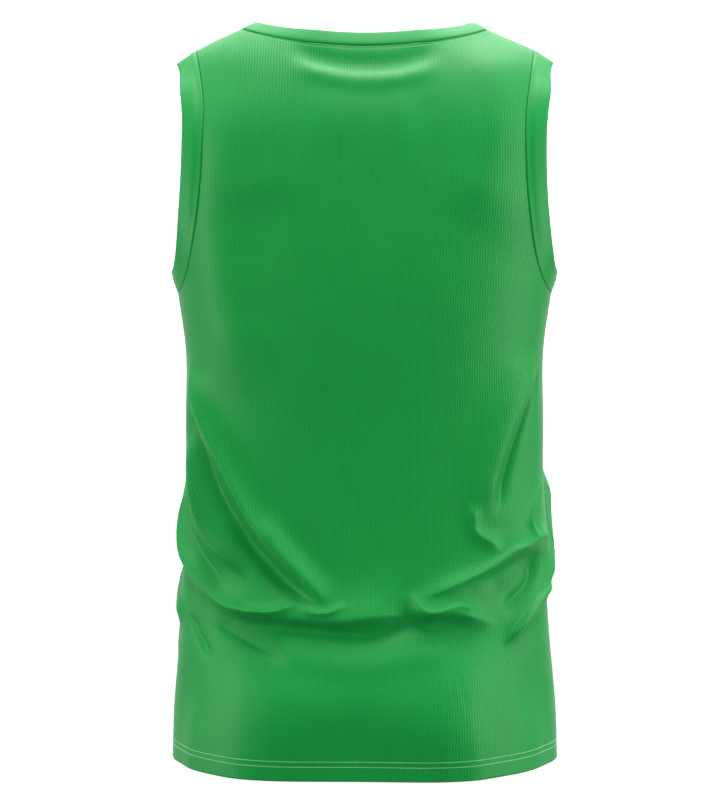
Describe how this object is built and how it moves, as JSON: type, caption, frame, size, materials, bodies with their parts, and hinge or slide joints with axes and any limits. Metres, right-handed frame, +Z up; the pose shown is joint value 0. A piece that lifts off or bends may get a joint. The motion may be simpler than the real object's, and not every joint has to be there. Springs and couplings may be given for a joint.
{
  "type": "sleeveless athletic vest",
  "caption": "Sleeveless rugby training vest in fine ribbed knit, filled out as if worn, with a bound round neck, banded armholes, a turned-up hem and deep folds at the small of the back.",
  "frame": {"origin": "on the vest's centre plane, between the two shoulder seams and level with their middle, where a wearer's shoulders hold it up", "axes": "+Z up, along the wearer's back; -Y the way the front faces, so the picture's camera looks along -Y at the back; +X to the wearer's left"},
  "size_m": [0.375, 0.2452, 0.718],
  "materials": {
    "body_knit": "fine vertical rib knit, matt with a faint sheen",
    "band_knit": "smooth knit, matt with a faint sheen"
  },
  "bodies": {
    "root": {"back_panel": "body_knit", "front_panel": "body_knit", "neck_band": "band_knit", "armhole_band_left": "band_knit", "armhole_band_right": "band_knit"}
  },
  "joints": []
}
